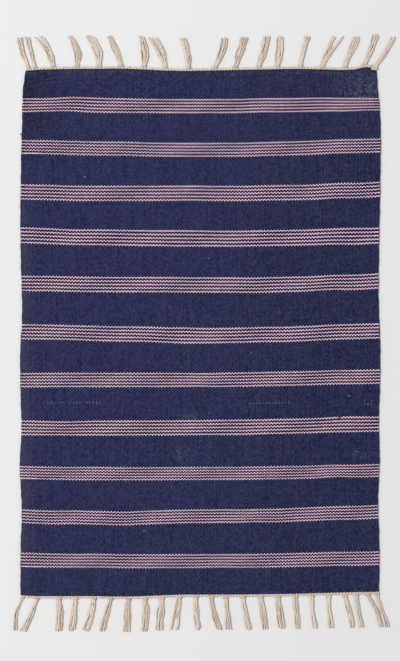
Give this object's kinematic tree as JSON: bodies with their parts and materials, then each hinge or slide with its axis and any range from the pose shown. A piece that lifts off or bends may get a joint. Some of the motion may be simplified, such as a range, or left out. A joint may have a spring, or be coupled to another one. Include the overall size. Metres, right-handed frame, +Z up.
{
  "type": "kilim rug",
  "caption": "Flat hand-woven cotton rug with bands of thin wavy lines across it and a knotted tassel fringe along both ends.",
  "frame": {"origin": "middle of the woven cloth's flat underside, which lies on the surface", "axes": "+X along the wefts, to the right; +Y along the warps, from the near fringe to the far one; +Z up out of the pile-less upper face"},
  "size_m": [0.6537, 1.0129, 0.005],
  "materials": {
    "dyed_weft_cotton": "weft-faced plain weave of soft navy cotton yarn with bands of thin dusty pink zigzag lines, matt",
    "natural_warp_cotton": "undyed plied cotton warp yarn, turned and knotted in tassels, matt"
  },
  "bodies": {
    "root": {"woven_cloth": "dyed_weft_cotton", "fringe_far": "natural_warp_cotton", "fringe_near": "natural_warp_cotton"}
  },
  "joints": []
}
